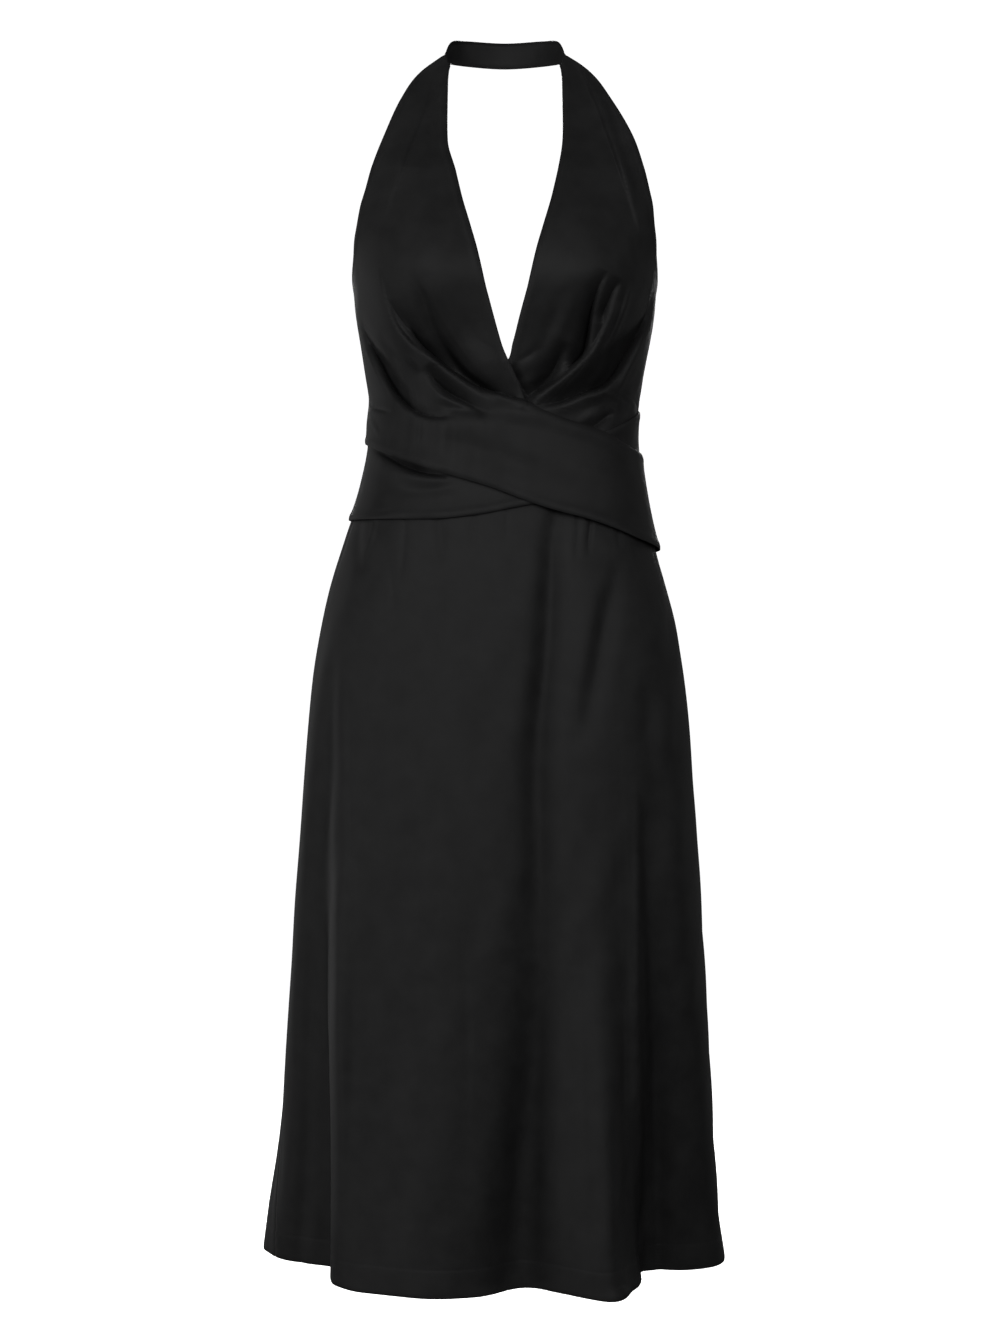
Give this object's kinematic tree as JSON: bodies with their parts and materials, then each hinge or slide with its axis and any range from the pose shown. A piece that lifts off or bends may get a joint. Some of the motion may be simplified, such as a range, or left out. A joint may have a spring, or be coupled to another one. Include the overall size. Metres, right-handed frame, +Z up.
{
  "type": "halter cocktail dress",
  "caption": "Black satin halter cocktail dress, worn form: crossed V bodice, wrap band over a waist band, softly gathered A-line skirt to mid calf, low back with a centre zip.",
  "frame": {"origin": "the nape seat: middle of the neck strap's inner face at the centre back, where the strap hangs on the wearer's neck", "axes": "+Z up along the dress; the front faces -Y; +X towards the wearer's left"},
  "size_m": [0.4363, 0.3255, 1.1471],
  "materials": {
    "satin": "black satin with a soft sheen",
    "zip_tape": "matt woven tape",
    "zip_metal": "black enamel on metal"
  },
  "bodies": {
    "dress": {"neck_strap": "satin", "front_left": "satin", "front_right_wrap": "satin", "waist_band": "satin", "back_left": "satin", "back_right": "satin", "skirt_front": "satin", "skirt_back_left": "satin", "skirt_back_right": "satin", "zip_tape": "zip_tape", "zip_slider": "zip_metal"},
    "pull": {"zip_pull": "zip_metal"}
  },
  "joints": [
    {"name": "pull_swing", "type": "hinge", "parent": "dress", "child": "pull", "pos_m": [-0.00062, 0.0099, -0.342], "axis": [1, 0, 0], "range_deg": [0, 160]}
  ]
}
